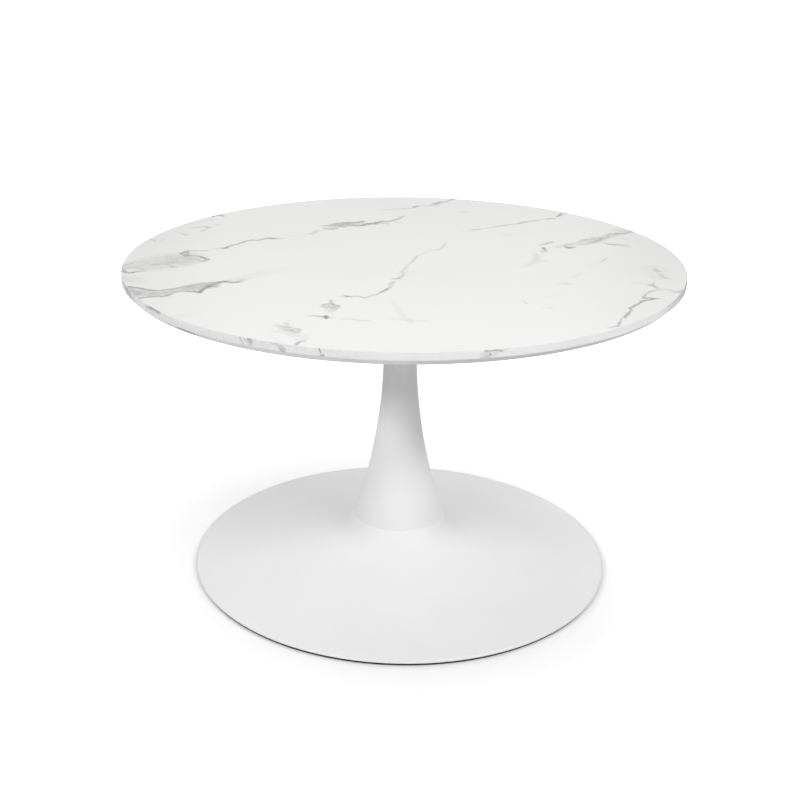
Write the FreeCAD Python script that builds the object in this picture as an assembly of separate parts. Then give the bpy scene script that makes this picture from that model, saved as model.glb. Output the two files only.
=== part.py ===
import FreeCAD, Part
import math
import os

# Round pedestal coffee table: a bevelled laminate top on a trumpet-shaped steel post and a flared foot.
# Millimetres, +Z up. The origin is on the floor, on the axis of the post.
# One tie rod clamps the foot, the post and the top plate together; screws hold the board on that plate.

# Overall
TABLE_HEIGHT = 475.0
TOP_DIAMETER = 800.0
BASE_DIAMETER = 622.0

# Board and its skins
TOP_THICKNESS = 18.0
LAMINATE_THICKNESS = 0.8
BACKING_THICKNESS = 0.6
EDGE_BAND_THICKNESS = 1.0
EDGE_BAND_HEIGHT = 10.0
EDGE_BAND_ROUNDING = 0.6
BEVEL_WIDTH = 8.0

# Plate under the board
TOP_PLATE_DIAMETER = 250.0
TOP_PLATE_THICKNESS = 4.0
TOP_PLATE_CHAMFER = 1.0

# Screws that hold the board on the plate
SCREW_COUNT = 6
SCREW_EDGE_DISTANCE = 22.0
SCREW_DIAMETER = 6.0
SCREW_ENGAGEMENT = 10.0
SCREW_HEAD_DIAMETER = 10.5
SCREW_HEAD_HEIGHT = 3.3
SCREW_SOCKET_WIDTH = 4.0
SCREW_SOCKET_DEPTH = 2.0
SCREW_WASHER_DIAMETER = 12.0
SCREW_WASHER_THICKNESS = 1.6
INSERT_DIAMETER = 10.0
INSERT_LENGTH = 12.0
INSERT_CHAMFER = 0.8
INSERT_HOLE_SPARE_DEPTH = 1.0

# Post
NECK_DIAMETER = 49.0
POST_FOOT_DIAMETER = 134.0
POST_FOOT_CHAMFER = 0.5
FLARE_START_HEIGHT = 340.0
POST_WALL = 2.0
SPIGOT_LENGTH = 30.0
SPIGOT_WALL = 3.0
SPIGOT_CHAMFER = 1.5
CENTRING_DISC_THICKNESS = 4.0

# Tie rod
ROD_DIAMETER = 12.0
ROD_CHAMFER = 1.2
ROD_TOP_GAP = 1.0
ROD_TAIL = 6.0
NUT_WIDTH = 18.0
NUT_HEIGHT = 10.8
ROD_WASHER_DIAMETER = 30.0
ROD_WASHER_THICKNESS = 2.5
LOCK_WASHER_DIAMETER = 20.2
LOCK_WASHER_THICKNESS = 2.5
LOCK_WASHER_SLIT = 1.5

# Foot
CROWN_HEIGHT = 75.0
CROWN_LEDGE = 0.8
CROWN_ROUNDING = 1.0
CROWN_FLANGE_WIDTH = 14.0
COVER_WALL = 2.0
FLARE_ANGLE = 62.0
FLARE_EASE_ANGLE = 20.0
BRIM_WIDTH = 16.5
RIM_ROLL = 3.0
CROWN_PLATE_THICKNESS = 5.0
CROWN_PLATE_MARGIN = 5.0
HUB_DIAMETER = 60.0
HUB_WALL = 3.0
BOTTOM_PLATE_THICKNESS = 4.0
BOTTOM_PLATE_FLOOR_GAP = 1.5
BOTTOM_PLATE_CHAMFER = 0.8
FLOOR_RING_WIDTH = 12.0
FLOOR_RING_CHAMFER = 0.8

# Clearances, each on the radius
THREAD_CLEARANCE = 0.1
SCREW_HOLE_CLEARANCE = 0.3
ROD_HOLE_CLEARANCE = 0.5
INSERT_CLEARANCE = 0.05
SPIGOT_CLEARANCE = 0.25
DISC_CLEARANCE = 0.3
PLATE_CLEARANCE = 0.3
RING_CLEARANCE = 0.2

# Heights, from the tabletop down to the post
top_radius = TOP_DIAMETER / 2
core_radius = top_radius - EDGE_BAND_THICKNESS
core_top = TABLE_HEIGHT - LAMINATE_THICKNESS
board_underside = TABLE_HEIGHT - TOP_THICKNESS
core_underside = board_underside + BACKING_THICKNESS
bevel_top = TABLE_HEIGHT - EDGE_BAND_HEIGHT
top_plate_underside = board_underside - TOP_PLATE_THICKNESS
washer_underside = top_plate_underside - SCREW_WASHER_THICKNESS
insert_hole_top = board_underside + INSERT_LENGTH + INSERT_HOLE_SPARE_DEPTH

# Heights, from the floor up to the crown
bottom_plate_top = BOTTOM_PLATE_FLOOR_GAP + BOTTOM_PLATE_THICKNESS
brim_underside = bottom_plate_top
brim_top = brim_underside + COVER_WALL
rim_bottom = brim_top - RIM_ROLL
crown_underside = CROWN_HEIGHT - COVER_WALL
crown_plate_underside = crown_underside - CROWN_PLATE_THICKNESS
rod_washer_underside = crown_plate_underside - ROD_WASHER_THICKNESS
lock_washer_underside = rod_washer_underside - LOCK_WASHER_THICKNESS
rod_nut_underside = lock_washer_underside - NUT_HEIGHT
rod_bottom = rod_nut_underside - ROD_TAIL
rod_top = top_plate_underside - ROD_TOP_GAP

# Radii of the pieces that fit each other
screw_radius = SCREW_DIAMETER / 2
screw_circle_radius = TOP_PLATE_DIAMETER / 2 - SCREW_EDGE_DISTANCE
insert_radius = INSERT_DIAMETER / 2
rod_radius = ROD_DIAMETER / 2
rod_hole_radius = rod_radius + ROD_HOLE_CLEARANCE
neck_radius = NECK_DIAMETER / 2
neck_bore_radius = neck_radius - POST_WALL
post_foot_radius = POST_FOOT_DIAMETER / 2
crown_radius = post_foot_radius + CROWN_LEDGE
crown_hole_radius = crown_radius - CROWN_FLANGE_WIDTH
base_radius = BASE_DIAMETER / 2
brim_radius = base_radius - BRIM_WIDTH
ring_outer_radius = base_radius - COVER_WALL - RING_CLEARANCE
ring_inner_radius = ring_outer_radius - FLOOR_RING_WIDTH
bottom_plate_radius = ring_inner_radius - PLATE_CLEARANCE
hub_radius = HUB_DIAMETER / 2
hub_bore_radius = hub_radius - HUB_WALL


def arc_radius(along, across):
    # Radius of the arc that starts along one direction and ends at these distances along and across it.
    return (along ** 2 + across ** 2) / (2 * across)


# The post's one arc leaves the neck upright and ends at the crown.
post_arc_radius = arc_radius(FLARE_START_HEIGHT - CROWN_HEIGHT, post_foot_radius - neck_radius)
post_arc_centre = neck_radius + post_arc_radius

# The foot's wall leaves the rounded edge of the crown at the flare angle on a tight arc, eases at the ease
# angle into a wide arc and runs out level on the brim. The two radii share its width and its height.
flare_sine = math.sin(math.radians(FLARE_ANGLE))
flare_cosine = math.cos(math.radians(FLARE_ANGLE))
ease_sine = math.sin(math.radians(FLARE_EASE_ANGLE))
ease_cosine = math.cos(math.radians(FLARE_EASE_ANGLE))
crown_flat_radius = crown_radius - CROWN_ROUNDING * flare_sine
flare_top = CROWN_HEIGHT - CROWN_ROUNDING * (1 - flare_cosine)
foot_width = brim_radius - crown_radius
foot_height = flare_top - brim_top
tight_width = flare_sine - ease_sine
tight_height = ease_cosine - flare_cosine
wide_height = 1 - ease_cosine
shares = tight_width * wide_height - ease_sine * tight_height
tight_radius = (foot_width * wide_height - ease_sine * foot_height) / shares
wide_radius = (tight_width * foot_height - tight_height * foot_width) / shares
tight_centre_radius = crown_radius + tight_radius * flare_sine
tight_centre_height = flare_top + tight_radius * flare_cosine
wide_centre_height = brim_top + wide_radius


def post_outer_radius(height):
    # Outer radius of the post within its flare.
    drop = FLARE_START_HEIGHT - height
    return post_arc_centre - math.sqrt(post_arc_radius ** 2 - drop ** 2)


def post_bore_radius(height):
    # Inner radius of the post within its flare.
    drop = FLARE_START_HEIGHT - height
    return post_arc_centre - math.sqrt((post_arc_radius + POST_WALL) ** 2 - drop ** 2)


def cover_inner_radius(height):
    # Inner radius of the foot's wall within its tight arc.
    rise = tight_centre_height - height
    return tight_centre_radius - math.sqrt((tight_radius + COVER_WALL) ** 2 - rise ** 2)


def bevel_height_at(radius):
    slope = (bevel_top - board_underside) / BEVEL_WIDTH
    return bevel_top - (top_radius - radius) * slope


def bevel_radius_at(height):
    slope = BEVEL_WIDTH / (bevel_top - board_underside)
    return top_radius - (bevel_top - height) * slope


class Outline:
    # A closed outline of radius against height, drawn edge by edge and turned about the Z axis.

    def __init__(self, radius, height):
        self.start = FreeCAD.Vector(radius, 0, height)
        self.here = self.start
        self.edges = []

    def line(self, radius, height):
        end = FreeCAD.Vector(radius, 0, height)
        self.edges.append(Part.makeLine(self.here, end))
        self.here = end
        return self

    def arc(self, centre_radius, centre_height, radius, height):
        centre = FreeCAD.Vector(centre_radius, 0, centre_height)
        end = FreeCAD.Vector(radius, 0, height)
        towards_middle = (self.here - centre) + (end - centre)
        towards_middle.normalize()
        middle = centre + towards_middle * (self.here - centre).Length
        self.edges.append(Part.Arc(self.here, middle, end).toShape())
        self.here = end
        return self

    def turned(self):
        self.line(self.start.x, self.start.z)
        face = Part.Face(Part.Wire(self.edges))
        return face.revolve(FreeCAD.Vector(0, 0, 0), FreeCAD.Vector(0, 0, 1), 360)


def cylinder(radius, bottom, top):
    return Part.makeCylinder(radius, top - bottom, FreeCAD.Vector(0, 0, bottom))


def tube(outer_radius, inner_radius, bottom, top):
    return cylinder(outer_radius, bottom, top).cut(cylinder(inner_radius, bottom, top))


def hexagon(width, bottom, top):
    corner = width / math.sqrt(3)
    angles = [math.radians(60 * side) for side in range(7)]
    points = [FreeCAD.Vector(corner * math.cos(a), corner * math.sin(a), bottom) for a in angles]
    return Part.Face(Part.makePolygon(points)).extrude(FreeCAD.Vector(0, 0, top - bottom))


def hex_nut(bottom, top):
    # The corners are turned down at 30 degrees on both faces.
    corner = NUT_WIDTH / math.sqrt(3)
    flat = NUT_WIDTH / 2
    turned_down = (corner - flat) * math.tan(math.radians(30))
    barrel = Outline(0, bottom)
    barrel.line(flat, bottom).line(corner, bottom + turned_down)
    barrel.line(corner, top - turned_down).line(flat, top).line(0, top)
    blank = hexagon(NUT_WIDTH, bottom, top).common(barrel.turned())
    return blank.cut(cylinder(rod_radius + THREAD_CLEARANCE, bottom, top))


def on_screw_circle(shape):
    # Separate copies of a shape that is modelled on the Z axis, one at each screw.
    copies = []
    for number in range(SCREW_COUNT):
        copy = shape.copy()
        copy.translate(FreeCAD.Vector(screw_circle_radius, 0, 0))
        turn = 360 * (number + 0.5) / SCREW_COUNT
        copy.rotate(FreeCAD.Vector(0, 0, 0), FreeCAD.Vector(0, 0, 1), turn)
        copies.append(copy)
    return copies


def tabletop_core():
    outline = Outline(0, core_underside)
    outline.line(bevel_radius_at(core_underside), core_underside)
    outline.line(core_radius, bevel_height_at(core_radius))
    outline.line(core_radius, core_top).line(0, core_top)
    insert_hole = cylinder(insert_radius + INSERT_CLEARANCE, core_underside, insert_hole_top)
    return outline.turned().cut(on_screw_circle(insert_hole))


def marble_laminate():
    return cylinder(core_radius, core_top, TABLE_HEIGHT)


def edge_band():
    # The strip covers the vertical edge and is trimmed flush with the face above and the bevel below.
    rounding = EDGE_BAND_ROUNDING
    outline = Outline(core_radius, bevel_height_at(core_radius))
    outline.line(top_radius, bevel_top).line(top_radius, TABLE_HEIGHT - rounding)
    outline.arc(top_radius - rounding, TABLE_HEIGHT - rounding, top_radius - rounding, TABLE_HEIGHT)
    outline.line(core_radius, TABLE_HEIGHT)
    return outline.turned()


def backing_sheet():
    outline = Outline(0, board_underside)
    outline.line(bevel_radius_at(board_underside), board_underside)
    outline.line(bevel_radius_at(core_underside), core_underside).line(0, core_underside)
    insert_hole = cylinder(insert_radius + INSERT_CLEARANCE, board_underside, core_underside)
    return outline.turned().cut(on_screw_circle(insert_hole))


def threaded_inserts():
    bore = screw_radius + THREAD_CLEARANCE
    top = board_underside + INSERT_LENGTH
    outline = Outline(bore, board_underside)
    outline.line(insert_radius, board_underside).line(insert_radius, top - INSERT_CHAMFER)
    outline.line(insert_radius - INSERT_CHAMFER, top).line(bore, top)
    return Part.makeCompound(on_screw_circle(outline.turned()))


def top_plate():
    radius = TOP_PLATE_DIAMETER / 2
    outline = Outline(0, top_plate_underside)
    outline.line(radius - TOP_PLATE_CHAMFER, top_plate_underside)
    outline.line(radius, top_plate_underside + TOP_PLATE_CHAMFER)
    outline.line(radius, board_underside).line(0, board_underside)
    screw_hole = cylinder(screw_radius + SCREW_HOLE_CLEARANCE, top_plate_underside, board_underside)
    return outline.turned().cut(on_screw_circle(screw_hole))


def plate_screws():
    # Button heads: a shallow dome with a hexagon socket.
    head_radius = SCREW_HEAD_DIAMETER / 2
    dome_radius = arc_radius(head_radius, SCREW_HEAD_HEIGHT)
    head_bottom = washer_underside - SCREW_HEAD_HEIGHT
    shank_top = board_underside + SCREW_ENGAGEMENT
    outline = Outline(0, head_bottom)
    outline.arc(0, head_bottom + dome_radius, head_radius, washer_underside)
    outline.line(screw_radius, washer_underside).line(screw_radius, shank_top).line(0, shank_top)
    socket = hexagon(SCREW_SOCKET_WIDTH, head_bottom, head_bottom + SCREW_SOCKET_DEPTH)
    return Part.makeCompound(on_screw_circle(outline.turned().cut(socket)))


def plate_washers():
    hole = screw_radius + SCREW_HOLE_CLEARANCE
    washer = tube(SCREW_WASHER_DIAMETER / 2, hole, washer_underside, top_plate_underside)
    return Part.makeCompound(on_screw_circle(washer))


def neck_spigot():
    outer = neck_bore_radius - SPIGOT_CLEARANCE
    inner = outer - SPIGOT_WALL
    bottom = top_plate_underside - SPIGOT_LENGTH
    outline = Outline(inner, bottom)
    outline.line(outer - SPIGOT_CHAMFER, bottom).line(outer, bottom + SPIGOT_CHAMFER)
    outline.line(outer, top_plate_underside).line(inner, top_plate_underside)
    return outline.turned()


def anchor_nut():
    return hex_nut(top_plate_underside - NUT_HEIGHT, top_plate_underside)


def post_shell():
    # A straight neck that opens in one long arc to the foot; the bore keeps the wall's thickness.
    chamfer_top = CROWN_HEIGHT + POST_FOOT_CHAMFER
    outline = Outline(post_foot_radius - POST_FOOT_CHAMFER, CROWN_HEIGHT)
    outline.line(post_outer_radius(chamfer_top), chamfer_top)
    outline.arc(post_arc_centre, FLARE_START_HEIGHT, neck_radius, FLARE_START_HEIGHT)
    outline.line(neck_radius, top_plate_underside).line(neck_bore_radius, top_plate_underside)
    outline.line(neck_bore_radius, FLARE_START_HEIGHT)
    outline.arc(post_arc_centre, FLARE_START_HEIGHT, post_bore_radius(CROWN_HEIGHT), CROWN_HEIGHT)
    return outline.turned()


def centring_disc():
    # Its sloping edge lies close along the bore of the post.
    top = CROWN_HEIGHT + CENTRING_DISC_THICKNESS
    outline = Outline(rod_hole_radius, CROWN_HEIGHT)
    outline.line(post_bore_radius(CROWN_HEIGHT) - DISC_CLEARANCE, CROWN_HEIGHT)
    outline.line(post_bore_radius(top) - DISC_CLEARANCE, top).line(rod_hole_radius, top)
    return outline.turned()


def tie_rod():
    small = rod_radius - ROD_CHAMFER
    outline = Outline(0, rod_bottom)
    outline.line(small, rod_bottom).line(rod_radius, rod_bottom + ROD_CHAMFER)
    outline.line(rod_radius, rod_top - ROD_CHAMFER).line(small, rod_top).line(0, rod_top)
    return outline.turned()


def rod_nut():
    return hex_nut(rod_nut_underside, lock_washer_underside)


def rod_lock_washer():
    # A spring washer, split by a narrow slit.
    outer = LOCK_WASHER_DIAMETER / 2
    ring = tube(outer, rod_radius + THREAD_CLEARANCE, lock_washer_underside, rod_washer_underside)
    corner = FreeCAD.Vector(0, -LOCK_WASHER_SLIT / 2, lock_washer_underside)
    slit = Part.makeBox(outer, LOCK_WASHER_SLIT, LOCK_WASHER_THICKNESS, corner)
    return ring.cut(slit)


def rod_washer():
    return tube(ROD_WASHER_DIAMETER / 2, rod_hole_radius, rod_washer_underside, crown_plate_underside)


def base_cover():
    # A flat flange under the post, a wall that flares out from it, and a level brim with a rolled rim.
    outer_ease = tight_centre_radius - tight_radius * ease_sine
    outer_ease_height = tight_centre_height - tight_radius * ease_cosine
    inner_ease = outer_ease - COVER_WALL * ease_sine
    inner_ease_height = outer_ease_height - COVER_WALL * ease_cosine
    roll_centre = base_radius - RIM_ROLL
    lip_radius = base_radius - COVER_WALL
    outline = Outline(crown_hole_radius, CROWN_HEIGHT)
    outline.line(crown_flat_radius, CROWN_HEIGHT)
    outline.arc(crown_flat_radius, CROWN_HEIGHT - CROWN_ROUNDING, crown_radius, flare_top)
    outline.arc(tight_centre_radius, tight_centre_height, outer_ease, outer_ease_height)
    outline.arc(brim_radius, wide_centre_height, brim_radius, brim_top)
    outline.line(roll_centre, brim_top)
    outline.arc(roll_centre, rim_bottom, base_radius, rim_bottom)
    outline.line(lip_radius, rim_bottom)
    outline.arc(roll_centre, rim_bottom, roll_centre, brim_underside)
    outline.line(brim_radius, brim_underside)
    outline.arc(brim_radius, wide_centre_height, inner_ease, inner_ease_height)
    inner_crown = cover_inner_radius(crown_underside)
    outline.arc(tight_centre_radius, tight_centre_height, inner_crown, crown_underside)
    outline.line(crown_hole_radius, crown_underside)
    return outline.turned()


def crown_plate():
    outer = cover_inner_radius(crown_underside) - CROWN_PLATE_MARGIN
    return tube(outer, rod_hole_radius, crown_plate_underside, crown_underside)


def hub_tube():
    return tube(hub_radius, hub_bore_radius, bottom_plate_top, crown_plate_underside)


def bottom_plate():
    bottom = BOTTOM_PLATE_FLOOR_GAP
    outline = Outline(hub_bore_radius, bottom)
    outline.line(bottom_plate_radius - BOTTOM_PLATE_CHAMFER, bottom)
    outline.line(bottom_plate_radius, bottom + BOTTOM_PLATE_CHAMFER)
    outline.line(bottom_plate_radius, bottom_plate_top).line(hub_bore_radius, bottom_plate_top)
    return outline.turned()


def floor_ring():
    # The ring fills the hollow behind the rolled rim and stands below it on the floor.
    roll_hollow = RIM_ROLL - COVER_WALL
    outline = Outline(ring_inner_radius, 0)
    outline.line(ring_outer_radius - FLOOR_RING_CHAMFER, 0)
    outline.line(ring_outer_radius, FLOOR_RING_CHAMFER)
    outline.line(ring_outer_radius, brim_underside - roll_hollow)
    outline.line(ring_outer_radius - roll_hollow, brim_underside)
    outline.line(ring_inner_radius, brim_underside)
    return outline.turned()


PIECES = [
    marble_laminate,
    edge_band,
    tabletop_core,
    backing_sheet,
    threaded_inserts,
    top_plate,
    plate_screws,
    plate_washers,
    neck_spigot,
    anchor_nut,
    post_shell,
    centring_disc,
    tie_rod,
    rod_nut,
    rod_lock_washer,
    rod_washer,
    base_cover,
    crown_plate,
    hub_tube,
    bottom_plate,
    floor_ring,
]

os.makedirs("parts", exist_ok=True)
for make_piece in PIECES:
    shape = make_piece()
    shape.exportStep(os.path.join("parts", make_piece.__name__ + ".step"))
    print(make_piece.__name__, "solids", len(shape.Solids), "volume", round(shape.Volume, 1))
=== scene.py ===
import math

import bmesh
import bpy
from mathutils import Matrix, Vector


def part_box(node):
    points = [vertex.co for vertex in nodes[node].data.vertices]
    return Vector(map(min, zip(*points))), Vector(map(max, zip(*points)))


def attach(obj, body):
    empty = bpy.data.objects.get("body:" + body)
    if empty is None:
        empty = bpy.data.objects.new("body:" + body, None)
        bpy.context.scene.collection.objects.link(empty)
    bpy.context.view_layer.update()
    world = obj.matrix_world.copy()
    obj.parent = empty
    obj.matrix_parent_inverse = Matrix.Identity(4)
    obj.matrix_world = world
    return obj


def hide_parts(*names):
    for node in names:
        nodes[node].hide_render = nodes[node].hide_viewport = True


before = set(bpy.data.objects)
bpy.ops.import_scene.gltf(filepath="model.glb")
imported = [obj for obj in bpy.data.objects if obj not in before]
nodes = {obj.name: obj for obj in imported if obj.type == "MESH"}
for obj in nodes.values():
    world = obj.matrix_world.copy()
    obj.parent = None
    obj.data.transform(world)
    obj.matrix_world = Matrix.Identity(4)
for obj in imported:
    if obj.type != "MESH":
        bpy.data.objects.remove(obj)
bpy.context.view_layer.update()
scene = bpy.context.scene
mm = 0.001
print("frame loaded:", len(nodes), "CAD pieces")

# Profiles: one vertex at a time on the half plane y = 0, then turned about the axis of the table
mergeDistance = 1e-6


def startProfile(radius, height):
    bm = bmesh.new()
    return bm, bm.verts.new((radius * mm, 0, height * mm))


def lineTo(bm, vert, radius, height):
    end = bmesh.ops.extrude_vert_indiv(bm, verts=[vert])["verts"][0]
    end.co = (radius * mm, 0, height * mm)
    return end


def arcTo(bm, vert, radius, height, degrees, steps):  # centre of the arc, then how far it turns
    made = bmesh.ops.spin(
        bm, geom=[vert], cent=(radius * mm, 0, height * mm), axis=(0, 1, 0), dvec=(0, 0, 0),
        angle=math.radians(degrees), steps=steps, use_merge=False)
    return [item for item in made["geom_last"] if isinstance(item, bmesh.types.BMVert)][0]


def closeProfile(bm, vert):
    bm.verts.ensure_lookup_table()
    bmesh.ops.contextual_create(bm, geom=[vert, bm.verts[0]])


def turnProfile(bm, steps):
    bmesh.ops.spin(
        bm, geom=bm.verts[:] + bm.edges[:], cent=(0, 0, 0), axis=(0, 0, 1), dvec=(0, 0, 0),
        angle=math.tau, steps=steps, use_merge=True)
    bmesh.ops.remove_doubles(bm, verts=bm.verts, dist=mergeDistance)
    bmesh.ops.recalc_face_normals(bm, faces=bm.faces)


def finishPiece(name, bm, material, replaced, creaseDegrees=28):
    mesh = bpy.data.meshes.new(name)
    bm.to_mesh(mesh)
    bm.free()
    mesh.shade_smooth()
    mesh.set_sharp_from_angle(angle=math.radians(creaseDegrees))
    mesh.materials.append(material)
    piece = bpy.data.objects.new(name, mesh)
    scene.collection.objects.link(piece)
    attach(piece, "root")
    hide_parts(replaced)


# Node helpers; a noise lies about its middle, mostly within its spread
noiseMiddle = 0.5
noiseSpread = (0.3, 0.7)
planeOnly = (1, 1, 0)                 # times a place, leaves out its height


def fillInputs(tree, node, inputs):
    for socket, value in inputs.items():
        if isinstance(value, bpy.types.NodeSocket):
            tree.links.new(value, node.inputs[socket])
        else:
            node.inputs[socket].default_value = value
    return node


def addNode(tree, kind, inputs=None, **settings):
    made = tree.nodes.new("ShaderNode" + kind)
    for name, value in settings.items():
        setattr(made, name, value)
    return fillInputs(tree, made, inputs or {})


def calc(tree, operation, first, second=0.0, third=0.0, clamp=False):
    inputs = {0: first, 1: second, 2: third}
    return addNode(tree, "Math", inputs, operation=operation, use_clamp=clamp).outputs[0]


def vector(tree, operation, first, second, output="Vector"):
    return addNode(tree, "VectorMath", {0: first, 1: second}, operation=operation).outputs[output]


def stretch(tree, first, factor):
    return addNode(tree, "VectorMath", {0: first, "Scale": factor}, operation="SCALE").outputs["Vector"]


def noise(tree, place, scale, detail=2.0, roughness=0.5, output="Fac"):
    inputs = {"Vector": place, "Scale": scale, "Detail": detail, "Roughness": roughness}
    return addNode(tree, "TexNoise", inputs).outputs[output]


def remap(tree, value, fromLow, fromHigh, toLow=0.0, toHigh=1.0, smooth=False):
    inputs = {"Value": value, "From Min": fromLow, "From Max": fromHigh,
              "To Min": toLow, "To Max": toHigh}
    kind = "SMOOTHSTEP" if smooth else "LINEAR"
    return addNode(tree, "MapRange", inputs, interpolation_type=kind).outputs[0]


def spread(tree, value, low=0.0, high=1.0, smooth=False):  # a noise brought to the range low to high
    return remap(tree, value, *noiseSpread, low, high, smooth)


def mixColour(tree, share, first, second):  # a Mix node keeps its colours in sockets 6 and 7
    return addNode(tree, "Mix", {0: share, 6: first, 7: second}, data_type="RGBA").outputs[2]


def objectPlace(tree):
    return addNode(tree, "TexCoord").outputs["Object"]


def addRelief(tree, shader, height, strength, depth):
    bump = addNode(tree, "Bump", {"Strength": strength, "Distance": depth, "Height": height})
    tree.links.new(bump.outputs[0], shader.inputs["Normal"])


def newMaterial(name, **sockets):
    material = bpy.data.materials.new(name)
    material.use_nodes = True
    shader = material.node_tree.nodes["Principled BSDF"]
    for socket, value in sockets.items():
        shader.inputs[socket.replace("_", " ")].default_value = value
    return material, material.node_tree, shader


def newGroup(name, inputs, outputs):
    group = bpy.data.node_groups.new(name, "ShaderNodeTree")
    for label, kind in inputs.items():
        group.interface.new_socket(label, in_out="INPUT", socket_type="NodeSocket" + kind)
    for label, kind in outputs.items():
        group.interface.new_socket(label, in_out="OUTPUT", socket_type="NodeSocket" + kind)
    return group, group.nodes.new("NodeGroupInput").outputs, group.nodes.new("NodeGroupOutput").inputs


def placeGroup(tree, group, inputs):
    made = tree.nodes.new("ShaderNodeGroup")
    made.node_tree = group
    return fillInputs(tree, made, inputs).outputs


# One straight run of a stroke (veins of the print, and on the bevel painted shade): fades out at its width,
# and a core over 1 fills its middle; keeps the darker of it and what is below. Hundreds are chained, so no
# Math node here has its own clamp
def makeStrokeRun():
    group, given, out = newGroup("strokeRun", {
        "Position": "Vector", "Start": "Vector", "Run": "Vector", "Pull": "Vector", "Width": "Float",
        "Width Gain": "Float", "Dark": "Float", "Dark Gain": "Float", "Core": "Float", "Below": "Float"},
        {"Shade": "Float"})
    offset = vector(group, "SUBTRACT", given["Position"], given["Start"])
    along = vector(group, "DOT_PRODUCT", offset, given["Pull"], "Value")
    share = addNode(group, "Clamp", {"Value": along}).outputs[0]
    nearest = stretch(group, given["Run"], share)
    gap = vector(group, "DISTANCE", offset, nearest, "Value")
    width = calc(group, "MULTIPLY_ADD", share, given["Width Gain"], given["Width"])
    dark = calc(group, "MULTIPLY_ADD", share, given["Dark Gain"], given["Dark"])
    near = calc(group, "SUBTRACT", 1.0, calc(group, "DIVIDE", gap, width))
    near = calc(group, "MINIMUM", calc(group, "MULTIPLY", near, given["Core"]), 1.0)
    shade = calc(group, "MULTIPLY", near, dark)
    group.links.new(calc(group, "MAXIMUM", shade, given["Below"]), out["Shade"])
    return group


# Lets a drawn line wander: a place pushed about in its plane by a noise
def makeWander():
    group, given, out = newGroup(
        "wander", {"Position": "Vector", "Scale": "Float", "Reach": "Float"}, {"Position": "Vector"})
    cloud = noise(group, given["Position"], given["Scale"], detail=5.0, roughness=0.65, output="Color")
    push = vector(group, "SUBTRACT", cloud, (noiseMiddle, noiseMiddle, noiseMiddle))
    push = vector(group, "MULTIPLY", stretch(group, push, given["Reach"]), planeOnly)
    group.links.new(vector(group, "ADD", given["Position"], push), out["Position"])
    return group


# The edge of the top unrolled: x along the rim from the front, y up from the middle of the strip
def makeUnrolledRim():
    group, given, out = newGroup(
        "unrolledRim", {"Position": "Vector", "Radius": "Float", "Middle": "Float"}, {"Position": "Vector"})
    parts = addNode(group, "SeparateXYZ", {0: given["Position"]}).outputs
    turn = calc(group, "ARCTAN2", parts[0], calc(group, "MULTIPLY", parts[1], -1.0))
    along = calc(group, "MULTIPLY", turn, given["Radius"])
    up = calc(group, "SUBTRACT", parts[2], given["Middle"])
    group.links.new(addNode(group, "CombineXYZ", {0: along, 1: up}).outputs[0], out["Position"])
    return group


# Fine texture of a sprayed or baked coat: a slow change of tone and a fine relief
def makeCoatGrain():
    group, given, out = newGroup(
        "coatGrain", {"Position": "Vector", "Grain Scale": "Float", "Tone Scale": "Float"},
        {"Tone": "Float", "Height": "Float"})
    fine = noise(group, given["Position"], given["Grain Scale"], detail=3.0, roughness=0.55)
    slow = noise(group, given["Position"], given["Tone Scale"], detail=3.0, roughness=0.6)
    group.links.new(spread(group, slow, smooth=True), out["Tone"])
    group.links.new(fine, out["Height"])
    return group


strokeRun = makeStrokeRun()
wander = makeWander()
unrolledRim = makeUnrolledRim()
coatGrain = makeCoatGrain()

# Stone print; the points of a vein are x, y and half width in mm, then darkness, where 1 is full grey
# grey of the veins, and of the painted shade on the bevel
veinAndShadeGrey = (0.26, 0.26, 0.26, 1)
veinFloor = 0.04                      # darkness that a vein has to pass to show
cloudSpread = (0.45, 0.75)            # part of a noise that clouds the white ground


def letWander(tree, place, look):
    scale, reach = look["wander"]
    return placeGroup(tree, wander, {"Position": place, "Scale": scale, "Reach": reach})["Position"]


def drawStrokes(tree, place, veins, core=1.0):
    shade = 0.0
    for points in veins.values():
        for (x, y, width, dark), (nextX, nextY, nextWidth, nextDark) in zip(points, points[1:]):
            run = Vector((nextX - x, nextY - y, 0)) * mm
            shade = placeGroup(tree, strokeRun, {
                "Position": place, "Start": (x * mm, y * mm, 0), "Run": run,
                "Pull": run / run.length_squared, "Width": width * mm,
                "Width Gain": (nextWidth - width) * mm, "Dark": dark, "Dark Gain": nextDark - dark,
                "Core": core, "Below": shade})["Shade"]
    return shade


def drawHazes(tree, place, look):  # broad pale bands, blotched by a noise; on the bevel they are painted shade
    hazes = drawStrokes(tree, place, look["hazes"], look["hazeCore"])
    blotches = noise(tree, place, look["blotches"], detail=4.0, roughness=0.65)
    return calc(tree, "MULTIPLY", hazes, spread(tree, blotches, *look["hazeStrength"]))


def printStone(tree, shader, place, shade, look):  # veins on a clouded white, under a satin gloss
    slow = noise(tree, place, look["cloud"]["scale"], detail=3.0, roughness=look["cloud"]["roughness"])
    cloud = remap(tree, slow, *cloudSpread, 0.0, look["cloud"]["shade"], smooth=True)
    shade = calc(tree, "ADD", shade, cloud, clamp=True)
    tree.links.new(mixColour(tree, shade, look["white"], look["grey"]), shader.inputs["Base Color"])
    satin = noise(tree, place, look["satin"]["scale"])
    tree.links.new(spread(tree, satin, *look["satin"]["rough"]), shader.inputs["Roughness"])
    return satin


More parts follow.
